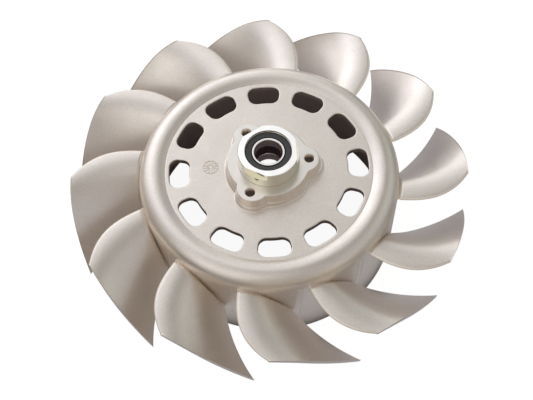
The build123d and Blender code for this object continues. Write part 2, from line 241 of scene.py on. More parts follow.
class Skin:
    """Patches of a surface, gathered and then welded into one object."""

    def __init__(self):
        self.points, self.faces, self.slots, self.total = [], [], [], 0

    def add(self, points, faces, slot):
        """Take one patch: its points and its faces of four corners."""
        self.points.append(points.reshape(-1, 3))
        self.faces.append(faces + self.total)
        self.slots.append(np.broadcast_to(slot, len(faces)))
        self.total += len(self.points[-1])

    def grid(self, rows, slot=0, flip=False, wrap=True):
        """A grid of rows of points, each row joined to the next, and closed on itself if it
        wraps. Seen from outside, the rows run down when the columns run to the right. The
        material slot is one number, or one for each column."""
        count, across = rows.shape[:2]
        index = np.arange(count * across).reshape(count, across)
        after = np.roll(index, -1, axis=1)
        if not wrap:
            index, after = index[:, :-1], after[:, :-1]
        faces = np.stack([index[:-1], index[1:], after[1:], after[:-1]], axis=-1)
        slots = np.broadcast_to(slot, faces.shape[:2]).ravel()
        faces = faces.reshape(-1, 4)
        self.add(rows, faces[:, ::-1] if flip else faces, slots)

    def flat(self, loops, height, up, slot=0):
        """A flat face at one height, inside the first closed loop and outside all the others.

        All the loops are triangulated together; a triangle stays when its middle is inside the
        first loop and outside the rest.
        """
        closest = 1e-9
        edges, start = [], 0
        for loop in loops:
            index = np.arange(len(loop)) + start
            edges.append(np.stack([index, np.roll(index, -1)], axis=-1))
            start += len(loop)
        points = np.concatenate(loops)
        made = delaunay_2d_cdt(points.tolist(), np.concatenate(edges).tolist(), [], 0, closest)
        corners, triangles = np.array(made[0]), np.array(made[2])
        middles = corners[triangles].mean(axis=1)
        keep = inside(middles, loops[0])
        for loop in loops[1:]:
            keep &= ~inside(middles, loop)
        triangles = triangles[keep]
        a, b, c = (corners[triangles[:, number]] for number in range(3))
        turn = (b - a)[:, 0] * (c - a)[:, 1] - (b - a)[:, 1] * (c - a)[:, 0]
        wrong = (turn > 0) != up
        triangles[wrong] = triangles[wrong][:, ::-1]
        faces = triangles[:, [0, 1, 2, 2]]
        self.add(np.column_stack([corners, np.full(len(corners), height)]), faces, slot)

    def make(self, name, materials, sharp=None):
        """The object, with outward faces and its place in its mesh. Its faces are smooth, apart
        from edges that turn by more than the sharp angle, in degrees."""
        points, faces = weld(np.concatenate(self.points), np.concatenate(self.faces))
        slots = np.concatenate(self.slots)
        a, b, c, d = (points[faces[:, number]] for number in range(4))
        volume = (a * np.cross(b, c)).sum() + (a * np.cross(c, d)).sum()
        if volume < 0:
            faces = faces[:, ::-1]
        mesh = bpy.data.meshes.new(name)
        fill_mesh(mesh, points, faces, slots)
        mesh.shade_smooth()
        if sharp is not None:
            mesh.set_sharp_from_angle(angle=np.radians(sharp))
        for material in materials:
            mesh.materials.append(material)
        made = bpy.data.objects.new(name, mesh)
        bpy.context.scene.collection.objects.link(made)
        return made


def inside(points, loop):
    """Which points are inside a closed loop: those with an odd number of its edges to one side."""
    start, end = loop, np.roll(loop, -1, axis=0)
    x, y = points[:, 0][:, None], points[:, 1][:, None]
    spans = (start[:, 1] > y) != (end[:, 1] > y)
    rise = np.where(end[:, 1] == start[:, 1], 1.0, end[:, 1] - start[:, 1])
    cross = start[:, 0] + (y - start[:, 1]) * (end[:, 0] - start[:, 0]) / rise
    return (spans & (x < cross)).sum(axis=1) % 2 == 1


def polar(radius, turn):
    """Points in the plane from radii and angles."""
    return np.stack([radius * np.cos(turn), radius * np.sin(turn)], axis=-1)


def turned(profile, count, centre=(0.0, 0.0)):
    """A profile of radii and heights carried around an upright axis, as a grid of rows."""
    turn = np.arange(count) * 2 * np.pi / count
    flat = polar(profile[:, :1], turn[None, :]) + np.asarray(centre)
    heights = np.broadcast_to(profile[:, 1][:, None, None], (*flat.shape[:2], 1))
    return np.concatenate([flat, heights], axis=-1)


def quarter(centre, radius, start, end, steps):
    """Points of an arc in a profile: its centre, then angles in degrees from outwards to up."""
    turn = np.radians(np.linspace(start, end, steps + 1))
    return np.asarray(centre) + polar(radius, turn)


def spin(points, turn):
    """Points turned about the fan's axis."""
    matrix = np.array([[np.cos(turn), -np.sin(turn)], [np.sin(turn), np.cos(turn)]])
    return points @ matrix.T


def level(outline, height):
    """The points of an outline in the plane, all at one height."""
    return np.column_stack([outline, np.full(len(outline), height)])


def bell(distance, width):
    """A smooth hump of height one: e to the power of minus the square of distance over width."""
    return np.exp(-(distance / width) ** 2)


def parting_height(drum):
    """Height of the mould's parting plane, where the rim's outer round meets the drum's side."""
    return drum.web_height + drum.rim_rise - drum.rim_round


def drum_outside(drum, height):
    """Radius of the drum's outside at a height: a leaning side, and a round above it."""
    parting, size = parting_height(drum), drum.rim_round
    lean = drum.radius - (parting - height) * np.tan(drum.draft)
    above = np.clip(height - parting, 0, size)
    rounded = drum.radius - size + np.sqrt(size ** 2 - above ** 2)
    return np.where(above > 0, rounded, lean)


def shell_profile(drum):
    """Rim and drum in section, from the web's front edge round to the web's rear edge.

    A small hollow arc leaves the web and runs into a long arc up to the crest. The share of the
    slope's turn that each takes of the run is its share of the two radii: with the turn t and
    the radii a and b, run = (a + b) sin t and rise = (a + b) (1 - cos t). The outer round leads
    down to the drum's side, and the inside is the same shape one wall in. The groove at the
    web's edge and the ridge of the parting line are bells across the section.
    """
    run, rise, wall = drum.rim_run, drum.rim_rise, drum.wall
    both = (run * run + rise * rise) / (2 * rise)
    turn = np.arccos(1 - rise / both)
    hollow, bend = drum.rim_hollow, both - drum.rim_hollow
    crest_radius = drum.radius - drum.rim_round
    web_radius = crest_radius - run
    crest = drum.web_height + rise
    parting = parting_height(drum)
    last = np.pi / 2 + drum.draft

    def arc(centre_radius, centre_height, size, turns):
        """Points of an arc in section: its centre, its radius and its angles from straight up."""
        return np.stack([centre_radius + size * np.sin(turns),
                         centre_height + size * np.cos(turns)], axis=-1)

    def skin(inset, steps):
        """The hollow, the bend up to the crest and the outer round, all moved in by the inset."""
        web_bend = arc(web_radius, drum.web_height + hollow, -(hollow + inset),
                       -np.linspace(0, turn, steps))
        crest_bend = arc(crest_radius, crest - bend, bend - inset, -np.linspace(turn, 0, steps))
        outer = arc(crest_radius, parting, drum.rim_round - inset,
                    np.linspace(0, last, 3 * steps))
        return np.concatenate([web_bend, crest_bend[1:], outer[1:]])

    groove_middle, groove_width = web_radius + 0.05 * MM, 0.22 * MM
    groove_radii = web_radius + np.linspace(-0.75 * MM, -0.06 * MM, 9)
    outside = np.concatenate([level(groove_radii, drum.web_height), skin(0.0, 14)])
    dip = drum.edge_groove * bell(outside[:, 0] - groove_middle, groove_width)
    front = outside[:, 1] > drum.web_height - wall
    outside[:, 1] -= np.where(front, dip, 0.0)
    ridge_reach, ridge_width, ridge_gap = 0.45 * MM, 0.16 * MM, 0.15 * MM
    offsets = np.linspace(ridge_reach, -ridge_reach, 13)
    bulge = drum.parting_ridge * bell(offsets, ridge_width)
    ridge = np.column_stack([drum_outside(drum, parting + offsets) + bulge, parting + offsets])
    outside = outside[outside[:, 1] > parting + ridge_reach + ridge_gap]
    size, side_gap, foot_gap, ring = drum.rear_round, 1.0 * MM, 0.4 * MM, 0.5 * MM
    side_heights = np.linspace(parting - side_gap, size + foot_gap, 12)
    side = np.column_stack([drum_outside(drum, side_heights), side_heights])
    rear_radius = drum_outside(drum, 0.0)
    edge_out = quarter((rear_radius - size, size), size, 0, -90, 5)
    edge_in = quarter((rear_radius - drum.rear_edge + size, size), size, -90, -180, 5)
    back = skin(wall, 9)[::-1]
    inner_ring = np.array([[web_radius - ring, drum.web_height - wall]])
    return np.concatenate([outside, ridge, side, edge_out, edge_in, back, inner_ring])


def slot_outline(hub, grow):
    """One slot seen from the front, grown by a distance all round: arcs of the slot circle on its
    long sides, straight ends, and corners whose centres stay while their radius grows."""
    outer, inner = hub.slot_circle + hub.slot_width / 2, hub.slot_circle - hub.slot_width / 2
    end = hub.slot_length / 2 / hub.slot_circle
    square, corner = end + np.pi / 2, hub.slot_corner
    outer_centre, inner_centre = outer - corner, inner + corner
    outer_turn = end - np.arcsin(corner / outer_centre)
    inner_turn = end - np.arcsin(corner / inner_centre)
    arc_turns = np.linspace(-outer_turn, outer_turn, 17)
    outer_arc = polar(outer + grow, arc_turns)
    outer_corner = polar(outer_centre, outer_turn) + polar(
        corner + grow, np.linspace(outer_turn, square, 11))
    inner_corner = polar(inner_centre, inner_turn) + polar(
        corner + grow, np.linspace(square, inner_turn + np.pi, 11))
    inner_arc = polar(inner - grow, np.linspace(inner_turn, -inner_turn, 15))
    half = np.concatenate([outer_corner[1:], inner_corner])
    mirrored = (half * (1, -1))[::-1]
    return np.concatenate([outer_arc, half, inner_arc[1:-1], mirrored])


def slot_rows(hub, drum, number):
    """The wall of one slot: its outline carried over a front round, the wall and a rear round.
    A narrow flat ring beside each round keeps the round's shading off the flat faces."""
    size, rear, ring = hub.slot_round, 0.4 * MM, 0.25 * MM
    top, bottom = drum.web_height, drum.web_height - drum.wall
    front_round = quarter((-size, top - size), size, 90, 0, 5) * (-1, 1)
    rear_round = quarter((-rear, bottom + rear), rear, 0, -90, 4) * (-1, 1)
    steps = [(size + ring, top), *front_round, *rear_round, (rear + ring, bottom)]
    turn = number * 2 * np.pi / hub.slot_count
    return np.array([level(spin(slot_outline(hub, grow), turn), height)
                     for grow, height in steps])


def boss_outline(hub, grow, blend):
    """The boss seen from the front, grown by a distance: a circle and round lugs, joined by
    arcs that touch both. An arc's centre is where circles grown by its radius cross."""
    boss, lug, away = hub.boss_radius + grow, hub.lug_radius + grow, hub.lug_centre
    x = ((boss + blend) ** 2 - (lug + blend) ** 2 + away ** 2) / (2 * away)
    y = np.sqrt((boss + blend) ** 2 - x ** 2)
    at_boss, at_lug = np.arctan2(y, x), np.arctan2(y, x - away)
    pitch = 2 * np.pi / hub.lug_count
    lug_arc = polar(lug, np.linspace(-at_lug, at_lug, 25)) + (away, 0)
    blend_arc = np.array([x, y]) + polar(blend, np.linspace(at_lug + np.pi, at_boss + np.pi, 11))
    boss_arc = polar(boss, np.linspace(at_boss, pitch - at_boss, 31))
    next_blend = spin((blend_arc * (1, -1))[::-1], pitch)
    sector = np.concatenate([lug_arc, blend_arc[1:], boss_arc[1:], next_blend[1:-1]])
    return np.concatenate([spin(sector, number * pitch) for number in range(hub.lug_count)])


def boss_rows(hub, steps):
    """Outlines of the boss at growing or shrinking sizes and their heights, as a grid of rows.
    Each step holds how far the outline is grown, the blend radius, the height and how far it
    is shifted to the front right."""
    front_right = -np.pi / 4
    return np.array([level(boss_outline(hub, grow, blend) + polar(shift, front_right), height)
                     for grow, blend, height, shift in steps])


def boss_steps(hub, drum):
    """The boss's side in section: foot fillet, lower step, ledge, upper step and soft edges, with
    narrow flat rings beside the rounds.

    A growing outline keeps the same blend centres, so the blend radius shrinks as it grows, down
    to a least one on the foot fillet.
    """
    web, top, blend = drum.web_height, hub.boss_top, hub.lug_blend
    ledge, wide, lean = web + hub.ledge_height, hub.ledge_width, hub.boss_lean
    foot, soft, inner, edge = hub.foot_fillet, 0.3 * MM, 0.25 * MM, 0.45 * MM
    foot_ring, ledge_ring, edge_ring, least_blend = 0.3 * MM, 0.05 * MM, 0.25 * MM, 0.6 * MM
    lower = [(wide + foot + foot_ring, web),
             *quarter((wide + foot, web + foot), foot, 270, 180, 7),
             *quarter((wide - soft, ledge - soft), soft, 0, 90, 5),
             (wide - soft - ledge_ring, ledge)]
    upper = [(lean + inner + ledge_ring, ledge),
             *quarter((lean + inner, ledge + inner), inner, 270, 180, 5),
             *quarter((-edge, top - edge), edge, 0, 90, 5),
             (-edge - edge_ring, top)]
    return [(grow, max(blend + wide - grow, least_blend), height, hub.ledge_shift)
            for grow, height in lower] + [
            (grow, blend - grow, height, 0.0) for grow, height in upper]


def pad_steps(hub, back):
    """The rear pad's side in section: a small chamfer at the web's rear face, the wall and a
    round at the pad's face, with narrow flat rings beside them."""
    chamfer, foot_ring, edge, edge_ring = 0.4 * MM, 0.3 * MM, 0.4 * MM, 0.25 * MM
    steps = [(chamfer + foot_ring, back), (chamfer, back), (0.0, back - chamfer),
             *quarter((-edge, hub.bottom + edge), edge, 0, -90, 4),
             (-edge - edge_ring, hub.bottom)]
    return [(grow, hub.lug_blend - grow, height, 0.0) for grow, height in steps]


def hole_profile(radius, top, bottom, chamfer):
    """A drilled hole in section, from a narrow flat ring on the top face down to the like ring on
    the rear face."""
    mouth, ring = radius + chamfer, 0.2 * MM
    return np.array([(mouth + ring, top), (mouth, top), (radius, top - chamfer),
                     (radius, bottom + chamfer), (mouth, bottom), (mouth + ring, bottom)])


def blade_surface(drum, blades, radius, chord, side):
    """A blade point's angle about the axis and its height.

    The chord runs from the leading edge down to the trailing edge; the mean line is two
    parabolas that meet where the camber is largest, and the thickness is laid off from it.
    """
    span = (radius - drum.radius) / (blades.tip_radius - drum.radius)
    lead = blades.leading + blades.leading_sweep * span + blades.leading_tip_sweep * span ** 3
    trail = blades.trailing + blades.trailing_sweep * span
    run = (trail - lead) * radius
    line = np.sqrt(run ** 2 + blades.depth ** 2)
    camber = blades.root_camber + span * (blades.tip_camber - blades.root_camber)
    place = blades.camber_place
    before = (2 * place * chord - chord ** 2) / place ** 2
    after = (1 - 2 * place + 2 * place * chord - chord ** 2) / (1 - place) ** 2
    mean = camber * np.where(chord < place, before, after)
    middle = blades.root_thickness + span * (blades.tip_thickness - blades.root_thickness)
    edge = blades.leading_thickness + chord * (blades.trailing_thickness - blades.leading_thickness)
    thickness = edge + (middle - edge) * 4 * chord * (1 - chord)
    rise = mean * line + side * thickness / 2
    around = chord * run + rise * blades.depth / line
    drop = chord * blades.depth - rise * run / line
    return lead + around / radius, parting_height(drum) - drop


def blade_loop(drum, blades):
    """Chord and side of every point around a blade's section: along the upper side to the
    trailing end, back along the lower side, and round the nose. The nose is half an ellipse and
    the trailing end is a flattened half ellipse with soft corners. Along a side the points lie
    closer together towards both edges, as the cosine of an even angle."""
    middle_chord = 46 * MM
    nose = blades.leading_thickness / 2 / (blades.tip_radius - drum.radius)
    soft = blades.edge_round / middle_chord
    along = (1 - np.cos(np.linspace(0, np.pi, SIDE_POINTS))) / 2 * (1 - soft)
    turn = np.linspace(0, np.pi, END_POINTS + 2)[1:-1]
    end_chord = 1 - soft + soft * np.sqrt(np.sin(turn))
    end_side = np.sign(np.cos(turn)) * np.sqrt(np.abs(np.cos(turn)))
    nose_turn = np.linspace(-np.pi / 2, np.pi / 2, NOSE_POINTS + 2)[1:-1]
    chord = np.concatenate([along, end_chord, along[::-1], -nose * np.cos(nose_turn)])
    upper = np.ones(SIDE_POINTS)
    side = np.concatenate([upper, end_side, -upper, np.sin(nose_turn)])
    return chord, side


def blade_rows(drum, blades):
    """One blade as a grid: rows run out along the blade, columns run around its section.

    A row is a share of the way from the drum's true surface to the tip. Near the drum each point
    moves off the blade by r - sqrt(r^2 - (r - h)^2), where r is the fillet's radius and h the
    height above the drum, so the skin meets the drum at a tangent. The tip's edge is softened in
    the same way. The drum's surface depends on the height that comes out, so each row is worked
    out a few times over. The first row lies inside the drum's wall.
    """
    chord, side = blade_loop(drum, blades)
    fillet, soft = blades.root_fillet, blades.edge_round
    reach = blades.tip_radius - drum.radius
    near = np.array([-0.6, 0.0, 0.02, 0.07, 0.16, 0.3, 0.5, 0.75, 1.05, 1.4, 1.8, 2.2, 2.6]) * MM
    far = np.linspace(3.6 * MM, reach - soft - 0.3 * MM, 24)
    tip = reach - soft + soft * np.sin(np.linspace(0, np.pi / 2, 5))
    shares, rounds = np.concatenate([near, far, tip]) / reach, 4
    base = np.full(len(chord), drum.radius)
    rows = []
    for share in shares:
        for _ in range(rounds):
            radius = base + share * (blades.tip_radius - base)
            turn, height = blade_surface(drum, blades, radius, chord, side)
            around = turn * radius
            step_around = np.roll(around, -1) - np.roll(around, 1)
            step_height = np.roll(height, -1) - np.roll(height, 1)
            size = np.hypot(step_around, step_height)
            above = np.clip(radius - base, 0, fillet)
            out = fillet - np.sqrt(fillet ** 2 - (fillet - above) ** 2)
            inward = np.clip(radius - (blades.tip_radius - soft), 0, soft)
            out = out - (soft - np.sqrt(soft ** 2 - inward ** 2))
            around = around + out * step_height / size
            height = height - out * step_around / size
            base = drum_outside(drum, height)
        rows.append(np.column_stack([polar(radius, around / radius), height]))
    return np.array(rows)


def casting_body(drum, hub):
    """Drum, rim, web, slots, boss, pad and holes as one skin. The faces of the boss and of the
    pad are turned, and have the second material."""
    web, back = drum.web_height, drum.web_height - drum.wall
    skin = Skin()
    rim = turned(shell_profile(drum), drum.columns)
    skin.grid(rim)
    slots = [slot_rows(hub, drum, number) for number in range(hub.slot_count)]
    for rows in slots:
        skin.grid(rows, flip=True)
    boss = boss_rows(hub, boss_steps(hub, drum))
    skin.grid(boss, flip=True)
    skin.flat([rows[0, :, :2] for rows in (rim, boss, *slots)], web, up=True)
    pad = boss_rows(hub, pad_steps(hub, back))
    skin.grid(pad)
    rear = [rim[-1, :, :2], pad[0, :, :2], *(rows[-1, :, :2] for rows in slots)]
    skin.flat(rear, back, up=False)
    bore_chamfer, bore_columns, screw_chamfer, screw_columns = 0.08 * MM, 240, 0.35 * MM, 48
    bore = hole_profile(hub.bore, hub.boss_top, hub.bottom, bore_chamfer)
    screw = hole_profile(hub.screw_hole, hub.boss_top, hub.bottom, screw_chamfer)
    centres = polar(hub.lug_circle, np.arange(hub.lug_count) * 2 * np.pi / hub.lug_count)
    holes = [turned(bore, bore_columns),
             *(turned(screw, screw_columns, centre) for centre in centres)]
    for rows in holes:
        skin.grid(rows, flip=True)
    front = [boss[-1, :, :2], *(rows[0, :, :2] for rows in holes)]
    rear = [rows[-1, :, :2] for rows in (pad, *holes)]
    skin.flat(front, hub.boss_top, up=True, slot=1)
    skin.flat(rear, hub.bottom, up=False, slot=1)
    return skin


def casting_blades(drum, blades):
    """All the blades as one skin. The upper part of the nose has the second material, a brighter
    aluminium that paints the highlight along the leading edge. A strip of faces closes each end of
    a blade, apart from the round of its nose."""
    skin = Skin()
    one = blade_rows(drum, blades)
    across = one.shape[1]
    # These nose columns take the second material, a painted highlight along the leading edge.
    edge_highlight_from, edge_highlight_to, nose_part = across - 7, across - 2, 5
    edge_highlight = np.zeros(across, dtype=int)
    edge_highlight[edge_highlight_from:edge_highlight_to] = 1
    step = np.arange(SIDE_POINTS + END_POINTS - 2)
    upper, lower = (step - nose_part) % across, 2 * SIDE_POINTS + END_POINTS - 1 - step
    for number in range(blades.count):
        rows = one.copy()
        rows[..., :2] = spin(one[..., :2], number * 2 * np.pi / blades.count)
        skin.grid(rows, slot=edge_highlight)
        for end, flip in ((rows[0], True), (rows[-1], False)):
            skin.grid(np.stack([end[upper], end[lower]]), wrap=False, flip=flip)
    return skin


def tube(path, radius):
    """A round rod along a path of points, closed by a point at each end, as a grid of rows. Its
    rings stand square to the path, and are set out from a direction that the path doesn't take."""
    columns = 12
    along = np.gradient(path, axis=0)
    along /= np.linalg.norm(along, axis=1)[:, None]
    steep = abs(along[0, 2]) > 0.9
    side = np.cross(along, (1.0, 0.3, 0.0) if steep else (0.3, 0.2, 1.0))
    side /= np.linalg.norm(side, axis=1)[:, None]
    up = np.cross(side, along)
    turn = np.linspace(0, 2 * np.pi, columns, endpoint=False)[None, :, None]
    ring = path[:, None] + radius * (side[:, None] * np.cos(turn) + up[:, None] * np.sin(turn))
    first, last = (np.broadcast_to(path[place], (1, columns, 3)) for place in (0, -1))
    return np.concatenate([first, ring, last])


def casting_marks(drum, blades):
    """What the mould leaves on the casting: a bead beside each leading edge's root, two fine ridges
    down the drum's side near it, and on the web a round dial with twelve ticks. The ridges and the
    dial are rods half sunk in the surface, and a bead is a small ball in the second material, whose
    brightness is a painted highlight."""
    skin = Skin()
    parting = parting_height(drum)
    # Degrees before the leading edge at the top and at the foot, the drop and the rod's radius
    ridges = ((3.3, 4.3, 35.0 * MM, 0.16 * MM), (5.9, 7.1, 29.0 * MM, 0.13 * MM))
    ridge_top, bead_size, bead_out, bead_turn = 0.4 * MM, 0.75 * MM, 0.3 * MM, 0.4
    turn = np.linspace(0, np.pi, 9)
    ball = bead_size * np.stack([np.sin(turn), np.cos(turn)], axis=-1) + (0, parting + bead_out)
    for number in range(blades.count):
        lead = blades.leading + number * 2 * np.pi / blades.count
        for first, last, drop, size in ridges:
            heights = parting - np.linspace(ridge_top, drop, 9)
            turn = lead - np.radians(np.linspace(first, last, 9))
            flat = polar(drum_outside(drum, heights), turn)
            skin.grid(tube(np.column_stack([flat, heights]), size))
        bead = polar(drum.radius + bead_out, lead - np.radians(bead_turn))
        # The bead's second material is the brighter aluminium: a painted highlight where the
        # leading edge meets the drum.
        skin.grid(turned(ball, 16, bead), slot=1)
    dial_circle, dial_turn, dial_radius, dial_rise = 35.6 * MM, 175, 4.6 * MM, 0.05 * MM
    tick_from, tick_to, tick_count, tick_turn = 1.3 * MM, 4.3 * MM, 12, 0.2
    ring_size, tick_size, height = 0.28 * MM, 0.24 * MM, drum.web_height + dial_rise
    centre = polar(dial_circle, np.radians(dial_turn))
    ring = polar(dial_radius, np.linspace(0, 2 * np.pi, 65)) + centre
    skin.grid(tube(level(ring, height), ring_size))
    for number in range(tick_count):
        turn = number * 2 * np.pi / tick_count + tick_turn
        tick = polar(np.linspace(tick_from, tick_to, 3), turn) + centre
        skin.grid(tube(level(tick, height), tick_size))
    return skin


def add_node(tree, kind, settings=None, inputs=None):
    """Add a node, set its settings, and give each named or numbered input a value or a link."""
    made = tree.nodes.new(kind)
    for name, value in (settings or {}).items():
        setattr(made, name, value)
    for name, value in (inputs or {}).items():
        if isinstance(value, bpy.types.NodeSocket):
            tree.links.new(value, made.inputs[name])
        else:
            made.inputs[name].default_value = value
    return made


def new_material(name):
    """An empty material, its node tree and a point's place on the object for its patterns."""
    material = bpy.data.materials.new(name)
    material.use_nodes = True
    tree = material.node_tree
    tree.nodes.clear()
    return material, tree, add_node(tree, "ShaderNodeTexCoord").outputs["Object"]


def cast_aluminium(finishes):
    """Aluminium, die cast and left as cast: a satin grey skin, a little warm, with a fine grain and
    faint duller patches where the metal flowed. The grain is near 0.3 mm in the real casting and
    is drawn near 1.2 mm, so that it shows."""
    material, tree, place = new_material("die_cast_aluminium_satin")
    patches = add_node(tree, "ShaderNodeTexNoise", inputs={
        "Vector": place, "Scale": 1 / (14 * MM), "Detail": 5.0, "Roughness": 0.6})
    grain = add_node(tree, "ShaderNodeTexNoise", inputs={
        "Vector": place, "Scale": 1 / (1.2 * MM), "Detail": 4.0, "Roughness": 0.65})
    tone = add_node(tree, "ShaderNodeMix", {"data_type": "RGBA"}, {
        "Factor": patches.outputs["Fac"], 6: finishes.casting, 7: finishes.casting_shade})
    rough = add_node(tree, "ShaderNodeMapRange", inputs={
        "Value": patches.outputs["Fac"], "From Min": 0.3, "From Max": 0.7,
        "To Min": 0.34, "To Max": 0.42})
    speckle = add_node(tree, "ShaderNodeMapRange", inputs={
        "Value": grain.outputs["Fac"], "From Min": 0.35, "From Max": 0.7})
    tone = add_node(tree, "ShaderNodeMix", {"data_type": "RGBA"}, {
        "Factor": speckle.outputs["Result"], 6: tone.outputs[2], 7: finishes.casting_grain})
    bump = add_node(tree, "ShaderNodeBump", inputs={
        "Height": grain.outputs["Fac"], "Strength": 0.6, "Distance": 0.11 * MM})
    shader = add_node(tree, "ShaderNodeBsdfPrincipled", inputs={
        "Base Color": tone.outputs[2], "Metallic": 1.0, "Roughness": rough.outputs["Result"],
        "Normal": bump.outputs["Normal"]})
    add_node(tree, "ShaderNodeOutputMaterial", inputs={"Surface": shader.outputs["BSDF"]})
    return material


def turned_aluminium(finishes):
    """Aluminium, turned on a lathe: paler and brighter than the cast skin, with fine rings around
    the axis. The rings are near 0.15 mm apart in the real face and are drawn 1 mm apart. A wave
    of scale s has its rings 2 pi / (20 s) apart."""
    ring_step = 1.0 * MM
    material, tree, place = new_material("turned_aluminium_face")
    rings = add_node(tree, "ShaderNodeTexWave", {
        "wave_type": "RINGS", "rings_direction": "Z", "wave_profile": "SIN"}, {
        "Vector": place, "Scale": 2 * np.pi / (20 * ring_step), "Distortion": 0.6,
        "Detail": 2.0, "Detail Scale": 2.0})
    smudge = add_node(tree, "ShaderNodeTexNoise", inputs={
        "Vector": place, "Scale": 1 / (6 * MM), "Detail": 3.0})
    rough = add_node(tree, "ShaderNodeMapRange", inputs={
        "Value": smudge.outputs["Fac"], "To Min": 0.24, "To Max": 0.36})
    bump = add_node(tree, "ShaderNodeBump", inputs={
        "Height": rings.outputs["Fac"], "Strength": 0.35, "Distance": 0.01 * MM})
    shader = add_node(tree, "ShaderNodeBsdfPrincipled", inputs={
        "Base Color": finishes.machined, "Metallic": 1.0, "Roughness": rough.outputs["Result"],
        "Normal": bump.outputs["Normal"]})
    add_node(tree, "ShaderNodeOutputMaterial", inputs={"Surface": shader.outputs["BSDF"]})
    return material


def zinc_plated_steel(finishes):
    """Steel, turned and zinc plated, with a passivated film: a faint yellow and green tint that
    drifts over the surface. The turned end face is painted nearly white, a painted highlight where
    it faces up to the light."""
    material, tree, place = new_material("zinc_plated_steel_passivated")
    drift = add_node(tree, "ShaderNodeTexNoise", inputs={
        "Vector": place, "Scale": 1 / (9 * MM), "Detail": 2.0, "Distortion": 0.5})
    stretched = add_node(tree, "ShaderNodeMapping", inputs={"Vector": place, "Scale": (1, 1, 14)})
    marks = add_node(tree, "ShaderNodeTexNoise", inputs={
        "Vector": stretched.outputs["Vector"], "Scale": 1 / (5 * MM), "Detail": 3.0})
    tone = add_node(tree, "ShaderNodeMix", {"data_type": "RGBA"}, {
        "Factor": drift.outputs["Fac"], 6: finishes.zinc, 7: finishes.zinc_tint})
    height = add_node(tree, "ShaderNodeSeparateXYZ", inputs={"Vector": place}).outputs["Z"]
    # Painted highlight: the top 0.6 mm of the carrier, its end face, fades to the nearly white
    # tone.
    top_highlight_mask = add_node(tree, "ShaderNodeMapRange", inputs={
        "Value": height, "From Min": cad_carrier_top - 0.6 * MM,
        "From Max": cad_carrier_top - 0.1 * MM})
    tone = add_node(tree, "ShaderNodeMix", {"data_type": "RGBA"}, {
        "Factor": top_highlight_mask.outputs["Result"], 6: tone.outputs[2], 7: finishes.zinc_top_highlight})
    rough = add_node(tree, "ShaderNodeMapRange", inputs={
        "Value": marks.outputs["Fac"], "To Min": 0.12, "To Max": 0.26})
    bump = add_node(tree, "ShaderNodeBump", inputs={
        "Height": marks.outputs["Fac"], "Strength": 0.3, "Distance": 0.01 * MM})
    shader = add_node(tree, "ShaderNodeBsdfPrincipled", inputs={
        "Base Color": tone.outputs[2], "Metallic": 1.0, "Roughness": rough.outputs["Result"],
        "Normal": bump.outputs["Normal"]})
    add_node(tree, "ShaderNodeOutputMaterial", inputs={"Surface": shader.outputs["BSDF"]})
    return material


def ground_steel(finishes):
    """Bearing steel, hardened and ground: bright, with fine rings around the axis. The grinding
    marks are far finer than the 0.3 mm drawn here."""
    material, tree, place = new_material("bearing_steel_ground")
    around = add_node(tree, "ShaderNodeMapping", inputs={"Vector": place, "Scale": (1, 1, 12)})
    marks = add_node(tree, "ShaderNodeTexNoise", inputs={
        "Vector": around.outputs["Vector"], "Scale": 1 / (3.6 * MM), "Detail": 4.0})
    rough = add_node(tree, "ShaderNodeMapRange", inputs={
        "Value": marks.outputs["Fac"], "To Min": 0.18, "To Max": 0.34})
    shader = add_node(tree, "ShaderNodeBsdfPrincipled", inputs={
        "Base Color": finishes.steel, "Metallic": 1.0, "Roughness": rough.outputs["Result"]})
    add_node(tree, "ShaderNodeOutputMaterial", inputs={"Surface": shader.outputs["BSDF"]})
    return material


def polished_ball_steel(finishes):
    """Bearing balls, lapped to a mirror: bright chrome steel with only a breath of grease."""
    material, tree, place = new_material("ball_steel_lapped")
    grease = add_node(tree, "ShaderNodeTexNoise", inputs={
        "Vector": place, "Scale": 1 / (1.5 * MM), "Detail": 2.0})
    rough = add_node(tree, "ShaderNodeMapRange", inputs={
        "Value": grease.outputs["Fac"], "To Min": 0.03, "To Max": 0.12})
    shader = add_node(tree, "ShaderNodeBsdfPrincipled", inputs={
        "Base Color": finishes.ball, "Metallic": 1.0, "Roughness": rough.outputs["Result"]})
    add_node(tree, "ShaderNodeOutputMaterial", inputs={"Surface": shader.outputs["BSDF"]})
    return material


